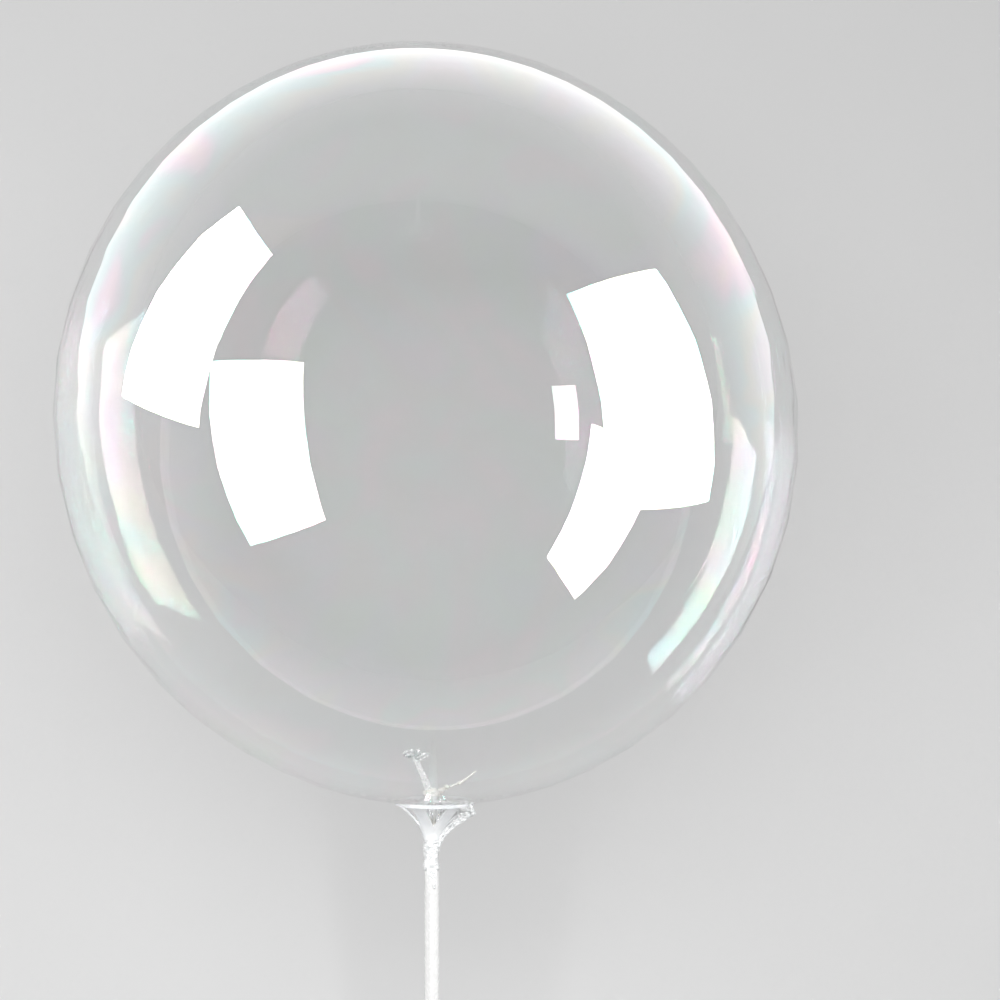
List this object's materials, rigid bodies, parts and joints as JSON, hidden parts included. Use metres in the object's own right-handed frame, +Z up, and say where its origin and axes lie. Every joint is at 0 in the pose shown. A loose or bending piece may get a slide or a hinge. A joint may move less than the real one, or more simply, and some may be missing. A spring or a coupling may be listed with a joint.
{
  "type": "clear bubble balloon on a stick",
  "caption": "Clear inflated bubble balloon seated on a ribbed funnel cup with a slim hollow stick, lying on its side.",
  "frame": {"origin": "middle of the small flat spot on which the inflated ball lies", "axes": "+Z up from the floor, +Y along the floor from the stick's far end towards the ball, +X to the right of someone who looks down on the front with the ball above the stick"},
  "size_m": [0.4019, 0.819, 0.3999],
  "materials": {
    "clear_film": "clear, glossy, faintly iridescent",
    "cup_plastic": "translucent, glossy",
    "stick_plastic": "white, satin"
  },
  "bodies": {
    "root": {"bubble_balloon": "clear_film", "balloon_cup": "cup_plastic", "stick": "stick_plastic"}
  },
  "joints": []
}
